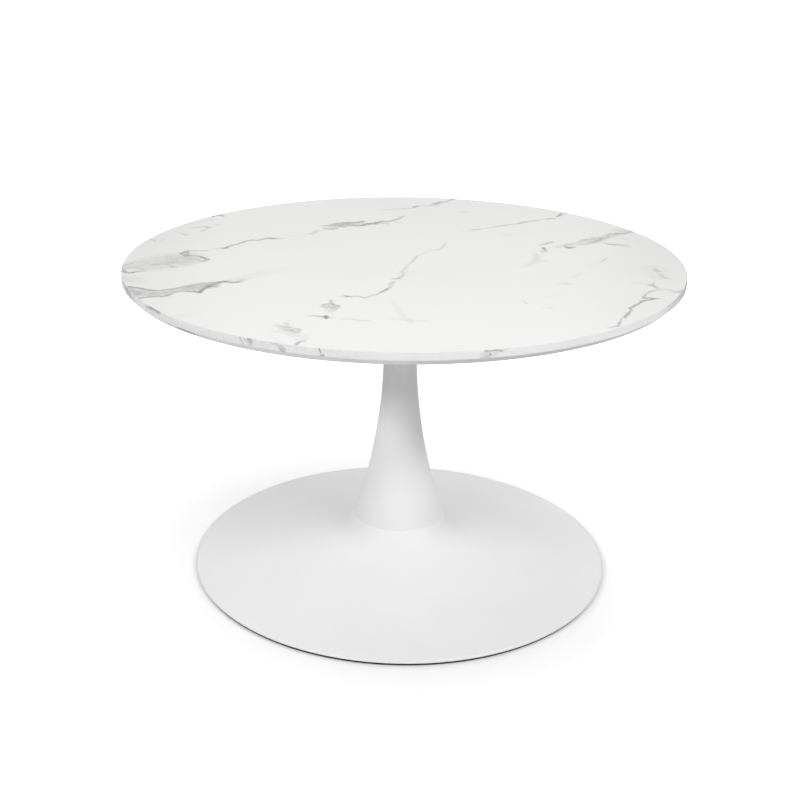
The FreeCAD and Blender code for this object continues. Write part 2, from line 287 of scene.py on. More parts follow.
# The printed face: veins on the plan of the top, x to the right and y away from the viewer
marbleFace = {
    "white": (0.875, 0.872, 0.86, 1),
    "grey": veinAndShadeGrey,
    "cloud": {"scale": 5.0, "roughness": 0.55, "shade": 0.02},
    "satin": {"scale": 900.0, "rough": (0.30, 0.40), "bump": 0.05, "depth": 0.0002},
    "crumbs": {"scale": 170.0, "strength": 1.3},
    "wander": (70.0, 0.008),          # noise scale, reach in metres
    "lineCore": 1.3,
    "lines": {
        "knot": [(-328, 24, 3, 0.2), (-323, 20, 5, 0.75), (-319, 28, 5, 0.75), (-316, 31, 5, 0.85),
                 (-313, 26, 4, 0.7)],
        "knotCross": [(-315, 28, 4, 0.6), (-314, 18, 4, 0.65), (-311, 9, 5, 0.8)],
        "knotLow": [(-323, 20, 5, 0.65), (-318, 12, 5, 0.65), (-313, 8, 6, 0.8), (-309, 8, 5, 0.85),
                    (-304, 6, 4, 0.55), (-300, 8, 4, 0.55), (-294, 4, 4, 0.6), (-291, 1, 5, 0.8),
                    (-286, -4, 5, 0.85), (-281, -9, 5, 0.75), (-276, -9, 3, 0.4)],
        "knotStrand": [(-315, -4, 4, 0.35), (-309, -6, 4, 0.6), (-304, -8, 4, 0.55),
                       (-300, -11, 4, 0.5), (-293, -12, 4, 0.5), (-289, -21, 4, 0.5),
                       (-285, -22, 4, 0.5), (-281, -14, 5, 0.7), (-279, -10, 5, 0.6)],
        "knotTick": [(-308, -23, 4, 0.35), (-305, -19, 4, 0.35), (-302, -21, 4, 0.3)],
        "knotSpot": [(-315, -9, 4, 0.35), (-312, -13, 4, 0.35)],
        "leftCrack": [(-315, 35, 4, 0.5), (-304, 35, 4, 0.5), (-299, 37, 4, 0.35), (-293, 35, 4, 0.4),
                      (-289, 39, 4, 0.35), (-280, 45, 4, 0.15), (-269, 51, 4, 0.5), (-263, 51, 5, 0.9),
                      (-257, 64, 4, 0.75), (-248, 75, 4, 0.7), (-242, 83, 4, 0.75), (-235, 96, 4, 0.65),
                      (-226, 100, 5, 0.7), (-218, 99, 5, 0.65), (-211, 107, 4, 0.65),
                      (-202, 114, 5, 0.75), (-197, 110, 6, 0.95), (-192, 112, 5, 0.75),
                      (-186, 110, 5, 0.3), (-180, 116, 5, 0.2)],
        "crackEnd": [(-145, 140, 6, 0.22), (-138, 142, 6, 0.38), (-132, 161, 6, 0.4)],
        "smearTop": [(-396, -60, 4, 0.6), (-394, -50, 4, 0.55), (-390, -42, 4, 0.45),
                     (-382, -31, 4, 0.35), (-374, -23, 4, 0.3), (-360, -18, 4, 0.15)],
        "rimLoop": [(-392, -72, 4, 0.55), (-390, -62, 4, 0.6), (-384, -59, 4, 0.5),
                    (-375, -57, 4, 0.45), (-366, -64, 4, 0.35), (-359, -73, 4, 0.4),
                    (-368, -76, 4, 0.5), (-376, -84, 5, 0.75), (-382, -84, 5, 0.65),
                    (-389, -76, 7, 0.65)],
        "bandTop": [(-368, -151, 5, 0.75), (-356, -154, 5, 0.75), (-344, -162, 5, 0.7),
                    (-332, -167, 5, 0.75), (-321, -166, 4, 0.65), (-314, -162, 4, 0.6),
                    (-303, -157, 4, 0.65), (-293, -148, 4, 0.65), (-282, -140, 4, 0.6),
                    (-269, -133, 4, 0.6), (-256, -128, 5, 0.65), (-246, -124, 6, 0.85),
                    (-238, -121, 7, 0.95)],
        "bandLow": [(-351, -197, 5, 0.6), (-343, -203, 5, 0.7), (-337, -198, 5, 0.6),
                    (-328, -194, 5, 0.7), (-320, -192, 5, 0.6), (-312, -192, 5, 0.7),
                    (-307, -186, 5, 0.7), (-304, -179, 4, 0.5), (-300, -172, 4, 0.65),
                    (-291, -169, 4, 0.65), (-281, -169, 5, 0.75), (-274, -169, 6, 0.85),
                    (-268, -172, 6, 0.95), (-265, -160, 6, 0.9), (-261, -146, 6, 0.95),
                    (-256, -138, 6, 0.9), (-251, -132, 6, 0.85), (-246, -125, 6, 0.85)],
        "bandFork": [(-263, -156, 6, 0.75), (-258, -144, 6, 0.85), (-250, -145, 5, 0.7),
                     (-246, -142, 4, 0.5)],
        "bandEnd": [(-236, -122, 5, 0.65), (-230, -126, 6, 0.8), (-224, -125, 5, 0.75),
                    (-214, -110, 9, 0.22)],
        "farRim": [(-308, 248, 6, 0.55), (-298, 258, 7, 0.65), (-291, 251, 6, 0.55)],
        "farRimSpot": [(-295, 193, 4, 0.25), (-289, 193, 4, 0.25)],
        "hook": [(-337, 167, 3, 0.15), (-327, 172, 3, 0.4), (-317, 177, 4, 0.45), (-309, 180, 5, 0.6),
                 (-303, 173, 4, 0.6), (-307, 165, 4, 0.4), (-313, 153, 5, 0.4)],
        "hookDash": [(-343, 140, 4, 0.25), (-338, 134, 4, 0.3), (-332, 128, 5, 0.38),
                     (-328, 131, 4, 0.15), (-318, 121, 5, 0.1)],
        "cup": [(-386, 100, 4, 0.27), (-380, 98, 4, 0.32), (-373, 87, 4, 0.27), (-367, 90, 3, 0.2),
                (-361, 103, 4, 0.2)],
        "lensTop": [(-129, 191, 5, 0.3), (-122, 195, 5, 0.4), (-113, 194, 7, 0.6), (-106, 204, 7, 0.6),
                    (-102, 209, 7, 0.65), (-93, 214, 7, 0.7), (-84, 215, 7, 0.75), (-75, 215, 7, 0.75),
                    (-67, 219, 7, 0.75), (-62, 224, 6, 0.65)],
        "lensMiddle": [(-85, 200, 7, 0.75), (-80, 200, 6, 0.75), (-74, 195, 6, 0.75),
                       (-71, 193, 5, 0.7)],
        "lensLow": [(-121, 175, 6, 0.55), (-115, 174, 7, 0.6), (-108, 174, 7, 0.6),
                    (-102, 176, 6, 0.55)],
        "lensRight": [(-68, 197, 7, 0.75), (-63, 197, 8, 1.0), (-60, 199, 7, 0.85), (-59, 204, 7, 0.75),
                      (-53, 207, 8, 0.9), (-48, 209, 8, 0.9), (-42, 207, 7, 0.75), (-40, 216, 8, 0.85),
                      (-36, 218, 7, 0.8), (-30, 226, 6, 0.65), (-23, 222, 6, 0.55), (-13, 233, 6, 0.5),
                      (-6, 243, 6, 0.5), (3, 260, 6, 0.35)],
        "lensTail": [(-31, 214, 5, 0.5), (-21, 207, 5, 0.35)],
        "lensFork": [(-12, 224, 4, 0.3), (0, 212, 5, 0.25)],
        "starSpike": [(-91, -198, 3, 0.3), (-91, -207, 4, 0.5), (-90, -216, 5, 0.65)],
        "starLeft": [(-90, -216, 5, 0.6), (-96, -218, 4, 0.6), (-98, -221, 4, 0.65),
                     (-101, -225, 4, 0.4), (-104, -227, 4, 0.2)],
        "starRight": [(-90, -216, 5, 0.65), (-88, -221, 5, 0.6), (-85, -223, 5, 0.6),
                      (-80, -226, 5, 0.6), (-78, -228, 3, 0.4)],
        "starLow": [(-79, -229, 4, 0.4), (-83, -242, 4, 0.35), (-86, -248, 4, 0.3)],
        "frontDash": [(-120, -268, 3, 0.12), (-113, -268, 3, 0.3), (-108, -268, 4, 0.6),
                      (-103, -268, 4, 0.6), (-99, -270, 4, 0.65), (-95, -271, 5, 0.75),
                      (-91, -274, 4, 0.6), (-87, -275, 4, 0.4), (-81, -276, 4, 0.15)],
        "frontDot": [(-94, -267, 4.5, 0.9), (-94, -277, 4.5, 1.0)],
        "frontThread": [(-74, -279, 4, 0.2), (-61, -278, 4, 0.24), (-51, -284, 4, 0.29),
                        (-39, -284, 4, 0.24)],
        "smudge": [(-147, -310, 6, 0.35), (-142, -311, 5, 0.5), (-136, -315, 5, 0.5)],
        "smudgeHeart": [(-139, -325, 6, 0.4), (-134, -325, 6, 0.65), (-130, -327, 6, 0.5),
                        (-127, -333, 5, 0.45), (-123, -331, 5, 0.5)],
        "smudgeLoop": [(-129, -319, 4, 0.4), (-126, -320, 4, 0.45), (-123, -323, 5, 0.45),
                       (-123, -328, 4, 0.35)],
        "smudgeLobe": [(-142, -296, 5, 0.28), (-140, -304, 5, 0.3)],
        "smudgeTickUp": [(-139, -287, 3, 0.25), (-136, -287, 3, 0.25)],
        "tick": [(-123, -378, 3.5, 0.6), (-121, -372, 3.5, 0.8), (-118, -367, 3.5, 0.6),
                 (-113, -362, 4, 0.35)],
        "centre": [(70, 99, 3, 0.08), (65, 86, 4, 0.3), (60, 65, 4, 0.28), (54, 54, 4, 0.25),
                   (46, 51, 3, 0.22), (38, 43, 3, 0.18), (27, 24, 3, 0.2), (22, 16, 3, 0.45),
                   (17, -10, 3, 0.45), (9, -27, 4, 0.2), (7, -42, 5, 0.26), (1, -64, 6, 0.26),
                   (3, -83, 4, 0.28), (-4, -99, 5, 0.55), (-12, -100, 4, 0.5)],
        "centreEnd": [(-10, -115, 5, 0.5), (-14, -126, 5, 0.25), (-15, -141, 4, 0.36),
                      (-19, -150, 4, 0.8), (-26, -162, 4, 0.6), (-31, -172, 4, 0.45),
                      (-40, -179, 4, 0.36), (-47, -189, 4, 0.55), (-50, -187, 4, 0.5),
                      (-56, -182, 4, 0.4), (-65, -185, 4, 0.5), (-71, -183, 5, 0.9),
                      (-73, -182, 5, 0.7), (-77, -184, 4, 0.25), (-85, -184, 4, 0.15)],
        "centreSpur": [(9, -66, 5, 0.18), (20, -66, 5, 0.12)],
        "farCrack": [(-38, 302, 4, 0.22), (-7, 310, 4, 0.36), (2, 314, 4, 0.4), (17, 317, 4, 0.36),
                     (22, 327, 6, 0.8), (28, 333, 5, 0.5), (38, 333, 4, 0.3), (50, 338, 5, 0.36),
                     (56, 350, 7, 0.6), (65, 364, 7, 0.65), (72, 364, 5, 0.36), (78, 372, 6, 0.4),
                     (85, 383, 7, 0.65)],
        "farCrackLow": [(55, 332, 4, 0.2), (65, 353, 5, 0.3), (78, 366, 5, 0.25)],
        "farSpot": [(96, 292, 4, 0.22), (108, 291, 4, 0.22)],
        "eastThread": [(94, 164, 4, 0.16), (105, 167, 4, 0.25), (114, 176, 5, 0.4), (121, 178, 5, 0.48),
                       (126, 182, 4, 0.2), (134, 188, 4, 0.3), (149, 197, 5, 0.35), (163, 206, 5, 0.48),
                       (176, 213, 5, 0.35), (185, 216, 5, 0.5), (192, 225, 5, 0.65),
                       (200, 230, 5, 0.45), (214, 238, 5, 0.5)],
        "eastDash": [(218, 241, 4, 0.4), (227, 245, 4, 0.15), (233, 249, 5, 0.45), (241, 253, 6, 0.6),
                     (247, 255, 5, 0.4)],
        "eastTick": [(251, 264, 4, 0.4), (256, 274, 5, 0.9), (262, 289, 5, 0.5), (269, 293, 5, 0.5)],
        "eastRim": [(355, 173, 6, 0.55), (345, 160, 6, 0.55), (340, 158, 6, 0.65), (330, 158, 6, 0.85),
                    (323, 156, 6, 0.65), (317, 152, 5, 0.4), (314, 137, 5, 0.5)],
        "eastRimUp": [(329, 180, 4, 0.3), (338, 186, 4, 0.3), (347, 190, 4, 0.25)],
        "eastRimLow": [(323, 140, 4, 0.3), (328, 140, 4, 0.3)],
        "eastUpper": [(316, 137, 5, 0.5), (309, 134, 5, 0.55), (303, 127, 6, 0.6), (299, 134, 5, 0.4),
                      (294, 136, 5, 0.5), (290, 133, 4, 0.35)],
        "eastMiddle": [(303, 126, 6, 0.6), (295, 113, 6, 0.6), (290, 105, 6, 0.6), (284, 101, 6, 0.55),
                       (278, 98, 5, 0.35)],
        "eastInner": [(293, 117, 5, 0.5), (287, 124, 5, 0.45), (281, 123, 5, 0.5), (276, 117, 5, 0.5),
                      (270, 112, 5, 0.4), (265, 107, 5, 0.25)],
        "eastBelow": [(280, 95, 5, 0.3), (274, 91, 5, 0.3), (268, 91, 5, 0.35), (264, 97, 5, 0.25)],
        "eastNode": [(243, 81, 5, 0.5), (245, 76, 5, 0.85), (249, 72, 6, 0.95), (252, 76, 5, 0.8),
                     (258, 74, 4, 0.45)],
        "eastNodeTop": [(244, 90, 5, 0.45), (250, 92, 5, 0.5), (257, 93, 5, 0.4)],
        "eastNodeTail": [(230, 75, 5, 0.35), (235, 74, 5, 0.35)],
        "eastBranch": [(305, 100, 6, 0.38), (310, 95, 6, 0.54), (316, 93, 6, 0.58), (325, 91, 6, 0.44),
                       (332, 88, 6, 0.44), (338, 84, 6, 0.28)],
        "eastCurl": [(227, 105, 5, 0.55), (223, 103, 5, 0.55), (219, 99, 5, 0.45), (215, 93, 5, 0.5),
                     (208, 87, 5, 0.3)],
        "eastDot": [(211, 71, 4, 0.8), (211, 58, 4, 0.8)],
        "eastCup": [(206, 52, 5, 0.36), (209, 46, 5, 0.36), (213, 51, 5, 0.36)],
        "dash": [(285, -4, 3, 0.28), (290, 6, 3, 0.36), (296, 15, 3, 0.26)],
        "rimSpur": [(333, -119, 4, 0.4), (338, -115, 4, 0.6), (340, -124, 4, 0.5),
                    (342, -131, 4, 0.35)],
        "rimSpurTop": [(338, -114, 4, 0.35), (344, -103, 4, 0.2)],
        "rimFork": [(316, -175, 4, 0.6), (323, -157, 3, 0.4), (332, -145, 4, 0.45), (341, -138, 3, 0.4),
                    (359, -139, 3, 0.36), (361, -147, 4, 0.45), (367, -147, 4, 0.55),
                    (375, -141, 5, 0.5)],
        "rimVein": [(338, -178, 3, 0.25), (330, -179, 4, 0.8), (320, -184, 4, 0.8),
                    (312, -189, 4, 0.85), (305, -202, 3, 0.7), (299, -210, 3, 0.7), (292, -221, 4, 0.7),
                    (292, -231, 3, 0.5), (287, -241, 4, 0.65), (280, -252, 4, 0.75),
                    (278, -261, 3, 0.5)],
        "rimVeinTop": [(330, -179, 4, 0.7), (323, -175, 3, 0.6), (317, -177, 4, 0.6)],
        "rimVeinEnd": [(275, -261, 3, 0.35), (271, -277, 3, 0.45), (265, -294, 3, 0.6),
                       (258, -298, 4, 0.4), (252, -302, 3, 0.3)],
        "speck": [(157, -188, 4, 0.08), (160, -197, 4, 0.17), (161, -205, 4, 0.36)],
        "paleFork": [(-12, -200, 7, 0.08), (-5, -227, 7, 0.12), (0, -253, 8, 0.13), (6, -270, 8, 0.14),
                     (11, -281, 7, 0.17), (14, -291, 7, 0.1)],
        "paleForkDash": [(-17, -275, 7, 0.12), (-4, -278, 7, 0.16), (5, -277, 6, 0.18),
                         (11, -281, 6, 0.22), (18, -284, 7, 0.15), (30, -282, 7, 0.15)],
    },
    "hazeCore": 2.0,
    "blotches": 90.0,
    "hazeStrength": (0.18, 0.7),      # share of grey in the palest and darkest blotches of a full haze
    "hazes": {
        "smear": [(-390, -46, 14, 0.3), (-375, -42, 27, 0.34), (-360, -46, 36, 0.38),
                  (-346, -33, 44, 0.42), (-334, -22, 44, 0.5), (-319, -12, 44, 0.6),
                  (-306, 4, 24, 0.55)],
        "smearMiddle": [(-368, -47, 10, 0.55), (-353, -44, 10, 0.6), (-336, -32, 12, 0.66),
                        (-322, -16, 16, 0.74), (-312, -4, 12, 0.8)],
        "smearSpot": [(-333, -31, 7, 0.9), (-327, -31, 7, 0.85)],
        "smearSpotLow": [(-325, -51, 6, 0.75), (-319, -51, 6, 0.7)],
        "rimPale": [(-381, -109, 12, 0.3), (-367, -119, 18, 0.25), (-357, -125, 12, 0.12)],
        "bandFill": [(-368, -170, 22, 0.9), (-355, -181, 22, 0.95), (-344, -183, 21, 0.9),
                     (-329, -181, 17, 0.8), (-312, -175, 13, 0.8), (-300, -165, 10, 0.8)],
        "bandFillEnd": [(-300, -165, 10, 0.8), (-282, -151, 17, 1.0), (-268, -144, 21, 1.1),
                        (-256, -134, 13, 1.0)],
        "bandCloud": [(-228, -115, 14, 0.25), (-195, -80, 18, 0.18), (-160, -55, 16, 0.08)],
        "crackHaze": [(-169, 128, 8, 0.14), (-155, 130, 8, 0.14)],
        "farLeft": [(-342, 195, 12, 0.14), (-312, 226, 15, 0.16)],
        "lensCloud": [(-118, 184, 9, 0.35), (-106, 192, 13, 0.75), (-101, 197, 17, 1.15),
                      (-93, 200, 20, 1.15), (-85, 203, 18, 1.15), (-76, 207, 13, 0.8),
                      (-66, 210, 9, 0.6)],
        "starBody": [(-100, -228, 6, 0.6), (-94, -229, 11, 0.9), (-88, -230, 12, 0.9),
                     (-83, -231, 8, 0.85)],
        "starFoot": [(-90, -236, 11, 0.6), (-89, -248, 7, 0.45), (-90, -254, 4, 0.2)],
        "smudgeBody": [(-150, -308, 9, 0.36), (-143, -312, 11, 0.5), (-137, -321, 12, 0.62),
                       (-130, -328, 11, 0.6), (-126, -334, 9, 0.5)],
        "smudgeFoot": [(-136, -336, 6, 0.2), (-128, -344, 7, 0.36), (-122, -346, 6, 0.3),
                       (-118, -342, 6, 0.3), (-115, -347, 6, 0.26), (-113, -358, 6, 0.16)],
        "smudgeFootEnd": [(-124, -359, 5, 0.16), (-119, -360, 5, 0.16)],
        "smudgeLeft": [(-153, -331, 6, 0.18), (-146, -329, 8, 0.28), (-139, -328, 9, 0.4)],
        "eastRimPale": [(354, 178, 10, 0.5), (340, 174, 8, 0.35)],
        "eastCloud": [(352, 170, 10, 0.4), (334, 159, 11, 0.4), (318, 146, 11, 0.45),
                      (306, 130, 12, 0.6), (292, 116, 18, 0.7), (280, 109, 16, 0.6),
                      (268, 100, 12, 0.45), (257, 92, 10, 0.3), (248, 83, 12, 0.45),
                      (233, 76, 8, 0.25)],
        "branchCloud": [(318, 98, 14, 0.15), (334, 90, 12, 0.15)],
        "branchUp": [(322, 133, 7, 0.2), (334, 131, 8, 0.2), (343, 128, 6, 0.12)],
        "eastTail": [(193, 44, 6, 0.18), (197, 22, 8, 0.36), (191, -4, 8, 0.38), (180, -25, 7, 0.28),
                     (170, -32, 6, 0.14)],
        "eastTailEnd": [(193, -3, 7, 0.35), (205, -2, 7, 0.25)],
        "paleEast": [(157, 145, 8, 0.1), (172, 153, 8, 0.1)],
        "trailTop": [(267, -28, 6, 0.08), (276, -15, 6, 0.12)],
        "trailA": [(233, -87, 7, 0.1), (246, -68, 8, 0.2)],
        "trailB": [(214, -117, 7, 0.22), (223, -115, 7, 0.45), (229, -117, 6, 0.15)],
        "trailC": [(192, -177, 7, 0.12), (206, -167, 7, 0.12)],
        "trailD": [(183, -221, 5, 0.2), (190, -221, 5, 0.28), (196, -223, 5, 0.1)],
        "rimCloudA": [(355, -37, 6, 0.75), (357, -49, 6, 0.75)],
        "rimCloudTail": [(359, -51, 4, 0.4), (368, -50, 4, 0.3)],
        "rimCloudB": [(358, -64, 6, 0.5), (359, -80, 6, 0.6), (367, -92, 5, 0.15)],
        "rimCloudLeft": [(349, -72, 7, 0.25), (347, -90, 6, 0.2)],
        "rimCloudPale": [(352, -30, 22, 0.12), (356, -75, 24, 0.12)],
        "rimSpurPale": [(317, -108, 6, 0.2), (334, -112, 6, 0.25)],
        "frontLeftPale": [(-274, -274, 12, 0.12), (-260, -272, 12, 0.12)],
    },
}


def makeMarbleFace(look):
    material, tree, shader = newMaterial("marbleFace")
    flat = vector(tree, "MULTIPLY", objectPlace(tree), planeOnly)
    drawn = letWander(tree, flat, look)
    lines = drawStrokes(tree, drawn, look["lines"], look["lineCore"])
    hazes = drawHazes(tree, drawn, look)
    crumbs = noise(tree, flat, look["crumbs"]["scale"], detail=3.0, roughness=0.6)
    crumbs = calc(tree, "SUBTRACT", crumbs, noiseMiddle)
    crumble = calc(tree, "MULTIPLY", crumbs, calc(tree, "MULTIPLY", lines, look["crumbs"]["strength"]))
    lineShade = remap(tree, calc(tree, "ADD", lines, crumble), veinFloor, 1.0)
    satin = printStone(tree, shader, flat, calc(tree, "MAXIMUM", lineShade, hazes), look)
    addRelief(tree, shader, satin, look["satin"]["bump"], look["satin"]["depth"])
    return material


# The unrolled rim that strip and bevel are drawn on, measured from the middle of the strip
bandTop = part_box("edge_band")[1]
bandHeight = 10.0                     # mm, from the face down to the bevel
rimLook = {"radius": bandTop.x, "middle": bandTop.z - bandHeight / 2 * mm, "wander": (160.0, 0.002),
           "hazeCore": 2.5, "blotches": 180.0}

# The printed strip round the edge, with veins of its own
marbleEdge = {
    **rimLook,
    "white": (0.862, 0.862, 0.857, 1),
    "grey": veinAndShadeGrey,
    "cloud": {"scale": 14.0, "roughness": 0.6, "shade": 0.06},
    "satin": {"scale": 900.0, "rough": (0.32, 0.42)},
    "marks": {
        "leftSmear": [(-392, 2.4, 4, 0.15), (-383, 2.6, 5, 0.45), (-376, 3.5, 4, 0.75),
                      (-371, 4, 4, 1.0), (-364, 4, 3.5, 0.75), (-358, 3.6, 4, 0.85),
                      (-351, 3.5, 4.5, 0.85), (-347, 3.8, 3.5, 0.65)],
        "leftSmearTail": [(-380, 0, 3, 0.3), (-384, -1, 3, 0.25), (-388, -3, 3, 0.15)],
        "leftFork": [(-200.8, 4.2, 2.6, 0.6), (-199.8, 2.2, 2.8, 0.55), (-198.2, 0.2, 2.4, 0.5),
                     (-197.4, -1.5, 2, 0.35), (-196.3, -3.6, 2.2, 0.6), (-196, -5, 2, 0.5)],
        "frontSlash": [(-95.8, 4.6, 2.2, 0.75), (-95.0, 3, 2.2, 0.85), (-94.3, 1.2, 2.2, 0.85),
                       (-94.0, -1.8, 2, 0.5)],
        "frontSlashFoot": [(-93.5, -4.2, 2.6, 0.75), (-90.8, -4, 2.8, 0.9)],
        "frontBar": [(99.4, 3.4, 2, 0.75), (102, 3.5, 2.4, 0.85), (105, 3.3, 2, 0.65),
                     (109, 3.3, 2, 0.7), (112, 3.5, 2.2, 0.8), (116, 3.0, 2.2, 0.7),
                     (119.5, 2.5, 2.6, 0.8), (121.5, 2.3, 2, 0.5)],
        "frontBarTail": [(122, 4.0, 1.8, 0.35), (127, 4.4, 1.8, 0.25), (131, 4.8, 1.5, 0.12)],
        "frontDot": [(105.7, -1.1, 2.3, 1.0), (106.3, -1.0, 2.3, 1.0)],
        "frontDotTail": [(104.9, -1.6, 2, 0.7), (102.9, -2.2, 2.2, 0.55), (100.9, -3.2, 2.2, 0.5)],
        "frontBlot": [(100.2, 1.2, 2, 0.45), (99.8, -1.4, 2, 0.5)],
        "frontBlotLeft": [(96, 1, 2, 0.3), (95.4, -0.8, 2, 0.35)],
        "frontKnotFoot": [(93.9, -4, 2.2, 0.35), (97.4, -3.9, 2.6, 0.45), (102.9, -3.8, 3, 0.55),
                          (107.4, -4.3, 2.4, 0.4)],
        "rightEdge": [(424, 4, 3, 0.45), (445, 4, 3, 0.55), (463, 4, 3.5, 0.65), (485, 4, 3.5, 0.6)],
        "rightBackA": [(636, 4.6, 2, 0.3), (641, 3, 2.2, 0.6), (645, 1.4, 2, 0.45),
                       (647, -0.8, 2.4, 0.7), (652, -2.6, 2, 0.4), (655, -4.8, 2.4, 0.55)],
        "rightBackSpur": [(645, 1.2, 2, 0.4), (652, 2.2, 1.8, 0.25), (660, 2, 1.5, 0.1)],
        "rightBackB": [(816, -4.6, 2, 0.25), (823, -3.4, 2.4, 0.5), (829, -1.4, 2, 0.35),
                       (838, -0.2, 2.8, 0.6), (846, 0.8, 2.2, 0.4), (853, 2.8, 2.4, 0.6),
                       (861, 3.6, 2, 0.35), (870, 4.6, 1.8, 0.2)],
        "backA": [(1006, 4.8, 2.2, 0.6), (1012, 3.2, 2.4, 0.7), (1018, 2.4, 2, 0.45),
                  (1022, 0.4, 2.6, 0.65), (1026, -2, 2.2, 0.45), (1030, -4.4, 2.8, 0.6)],
        "backSpur": [(1022, 0.6, 2, 0.4), (1015, -1, 2, 0.3), (1008, -1.4, 1.6, 0.12)],
        "backB": [(1176, 1.6, 2, 0.15), (1188, 2.4, 2.6, 0.4), (1199, 2.2, 2, 0.3),
                  (1214, 3.2, 2.6, 0.6), (1223, 2.6, 2.2, 0.4), (1234, 1, 2, 0.2)],
        "leftBackA": [(-642, 4.8, 2.2, 0.5), (-637, 3, 2.4, 0.6), (-632, 1.8, 2, 0.4),
                      (-628, -0.4, 2.6, 0.6), (-624, -2.2, 2, 0.4), (-621, -4.6, 2.4, 0.5)],
        "leftBackB": [(-906, -3.6, 2.2, 0.25), (-897, -2.2, 2.6, 0.45), (-888, -0.8, 2.2, 0.35),
                      (-880, 0.8, 2.8, 0.6), (-874, 2.6, 2.2, 0.45), (-867, 4.4, 2, 0.5)],
    },
    "hazeStrength": (0.6, 1.4),
    "hazes": {
        # leftGrey and leftRim make the strip greyer towards its left side
        "leftGrey": [(-420, 0, 14, 0.1), (-330, 0, 14, 0.14), (-60, 0, 14, 0.14), (0, 0, 14, 0.07),
                     (110, 0, 14, 0.06), (300, 0, 14, 0.03)],
        "leftRim": [(-600, 0, 14, 0.02), (-545, 0, 14, 0.12), (-515, 0, 14, 0.24), (-490, 0, 14, 0.34),
                    (-470, 0, 14, 0.52), (-455, 0, 14, 0.52), (-440, 0, 14, 0.3), (-418, 0, 14, 0.12)],
        "leftPatch": [(-188.2, 4.2, 3.2, 0.5), (-186.2, 2, 4.6, 0.5), (-185.2, -0.6, 4.4, 0.45)],
        "leftPatchTop": [(-187, 4.6, 2, 0.45), (-179, 4.4, 1.6, 0.2)],
        "leftPatchLeft": [(-194.5, 2.4, 2.2, 0.28), (-192, 1.6, 3, 0.3)],
        "leftPatchLow": [(-189, -2, 3, 0.3), (-189.5, -5, 3, 0.3)],
        "frontLeaf": [(-158, 4.2, 1.5, 0.25), (-151, 3.6, 2.5, 0.36), (-146.5, 2, 4, 0.4),
                      (-143.5, -0.5, 5, 0.48), (-141, -2.5, 5, 0.5), (-141, -4.8, 3, 0.55)],
        "frontKnotPale": [(94.4, -1, 3.5, 0.2), (100.4, -1, 4.5, 0.28), (108.4, -0.5, 4, 0.24),
                          (112, 0, 4, 0.22), (117, 0.5, 3, 0.1), (122, 0.8, 2, 0.06)],
        "rightSmear": [(395, 0, 14, 0.08), (420, 0, 14, 0.24), (445, 0, 14, 0.27), (468, 0, 14, 0.36),
                       (498, 0, 14, 0.46), (520, 0, 14, 0.56), (545, 0, 14, 0.44), (580, 0, 14, 0.28),
                       (625, 0, 14, 0.12), (680, 0, 14, 0.02)],
        "rightBackCloud": [(645, 1, 5, 0.2), (660, 0, 7, 0.3), (682, 1, 6, 0.12)],
        "backCloud": [(985, 2, 5, 0.1), (1005, 1, 6, 0.28), (1020, 0, 5, 0.2)],
        "leftBackCloud": [(-905, 0, 5, 0.12), (-890, 1, 7, 0.3), (-872, 0, 6, 0.2)],
    },
}


# Marks and hazes on the unrolled rim: print on the strip, and on the bevel a dark streak and painted shade
def drawRimMarksAndShade(tree, place, look):
    inputs = {"Position": place, "Radius": look["radius"], "Middle": look["middle"]}
    strip = placeGroup(tree, unrolledRim, inputs)["Position"]
    drawn = letWander(tree, strip, look)
    marks = drawStrokes(tree, drawn, look["marks"])
    return calc(tree, "MAXIMUM", marks, drawHazes(tree, drawn, look))


def makeMarbleEdge(look):
    material, tree, shader = newMaterial("marbleEdge")
    place = objectPlace(tree)
    marks = remap(tree, drawRimMarksAndShade(tree, place, look), veinFloor, 1.0)
    printStone(tree, shader, place, marks, look)
    return material


# Greyer stretches on the bevel's coat: a dark streak at the left, and painted shade along the right, where
# the bevel faces down and lies darker in the light
bevelStreakAndShade = {
    **rimLook,
    "grey": veinAndShadeGrey,
    "marks": {
        "leftStreak": [(-316, -9.5, 4, 0.35), (-308, -7.5, 5, 0.9), (-300, -7, 6, 1.0),
                       (-292, -7, 6, 1.0), (-284, -8, 5, 0.6), (-274, -9, 5, 0.3), (-264, -9, 4, 0.12)],
    },
    "hazeStrength": (0.8, 1.2),
    "hazes": {
        # painted shade: the right of the downward-facing bevel made darker
        "rightPaintedShade": [(20, -9, 14, 0.08), (70, -9, 14, 0.17), (250, -9, 14, 0.17), (330, -9, 14, 0.05)],
    },
}

# Coats: tone pair, noise scales of grain and tone, depth of the relief in metres, and roughness
coats = {
    "whiteCoat": {"tones": ((0.835, 0.835, 0.835, 1), (0.85, 0.85, 0.85, 1)),
                  "grain": 1400.0, "tone": 9.0, "relief": 0.00006, "rough": (0.46, 0.54)},
    # the bevel's tones are darker than its white paint: painted shade of the downward-facing bevel
    "bevelPaintAndShade": {"tones": ((0.74, 0.74, 0.74, 1), (0.77, 0.77, 0.77, 1)), "streakAndShade": bevelStreakAndShade,
                   "grain": 700.0, "tone": 22.0, "relief": 0.00008, "rough": (0.5, 0.62)},
    "backingPaper": {"tones": ((0.80, 0.80, 0.79, 1), (0.83, 0.83, 0.82, 1)),
                     "grain": 500.0, "tone": 6.0, "relief": 0.00004, "rough": (0.55, 0.7)},
    "blackCoat": {"tones": ((0.034, 0.034, 0.035, 1), (0.038, 0.038, 0.039, 1)),
                  "grain": 1100.0, "tone": 12.0, "relief": 0.0001, "rough": (0.5, 0.62)},
    "blackRubber": {"tones": ((0.022, 0.022, 0.022, 1), (0.035, 0.035, 0.034, 1)),
                    "grain": 420.0, "tone": 30.0, "relief": 0.00012, "rough": (0.72, 0.88)},
}
coatBump = 0.5                        # strength of every coat's relief


